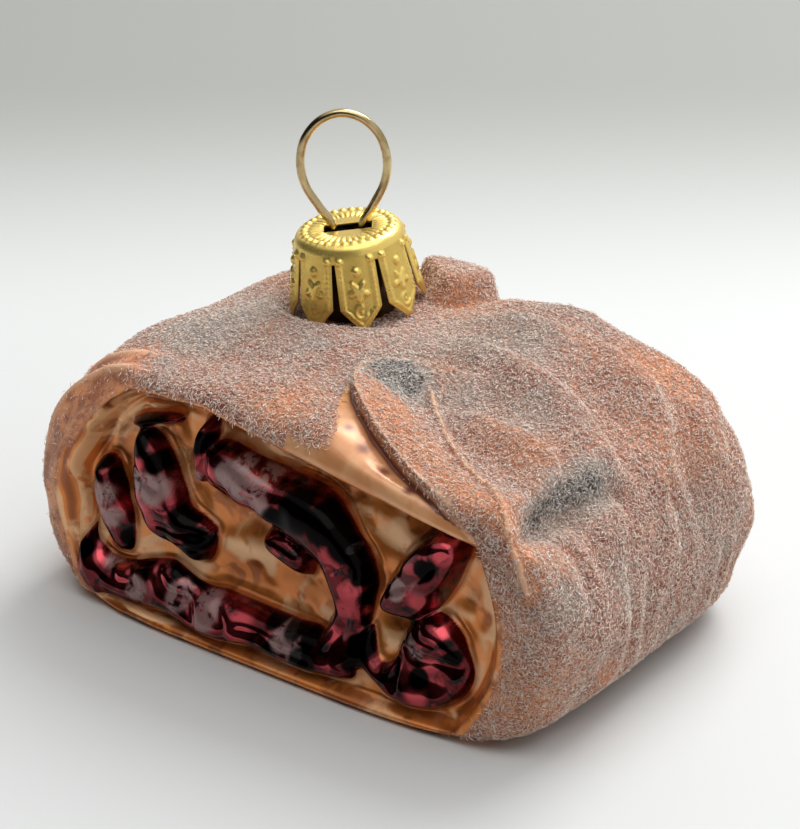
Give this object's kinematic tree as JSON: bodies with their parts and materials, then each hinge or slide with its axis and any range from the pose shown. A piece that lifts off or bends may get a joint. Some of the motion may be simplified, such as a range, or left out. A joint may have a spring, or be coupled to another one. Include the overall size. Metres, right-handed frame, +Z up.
{
  "type": "strudel ornament",
  "caption": "Hanging glass ornament shaped as a slice of cherry strudel, with a flocked shell, a glossy cut face, a stamped metal cap and a wire loop.",
  "frame": {"origin": "on the ground under the middle of the ornament's bounding box", "axes": "+X along the cut face, from its pointed left end to the right; -Y out of the cut face; +Z up"},
  "size_m": [0.0796, 0.0522, 0.0587],
  "materials": {
    "painted_glass": "silvered and lacquered blown glass, amber on the cut face with dark red cherries, opaque, high gloss",
    "flock": "short pale fibres flocked over the lacquered pastry shell",
    "gold_cap": "stamped thin sheet, satin gold",
    "brass_wire": "drawn wire, bright"
  },
  "bodies": {
    "root": {"glass_body": "painted_glass", "cap": "gold_cap", "hanger_wire": "brass_wire"}
  },
  "joints": []
}
